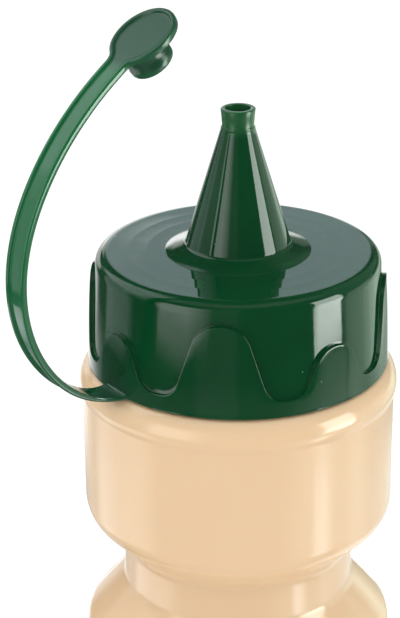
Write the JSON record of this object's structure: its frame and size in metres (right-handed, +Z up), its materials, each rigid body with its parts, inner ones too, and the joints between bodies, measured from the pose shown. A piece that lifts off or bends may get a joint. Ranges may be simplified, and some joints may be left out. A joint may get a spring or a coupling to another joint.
{
  "type": "sauce squeeze bottle",
  "caption": "Waisted plastic squeeze bottle for sauce, with a conical nozzle cap and a stopper on a curved strap.",
  "frame": {"origin": "centre of the underside of the base, where the bottle stands", "axes": "+Z up along the axis of the bottle and nozzle; -Y is the side the reference view looks at, and the strap leaves the cap towards -X and -Y, 51.5 degrees round from -Y"},
  "size_m": [0.0762, 0.0682, 0.2333],
  "materials": {
    "bottle": "semi-gloss blow-moulded polyethylene, peach",
    "cap": "glossy injection-moulded polyethylene, dark green"
  },
  "bodies": {
    "root": {"bottle": "bottle", "cap": "cap"}
  },
  "joints": []
}
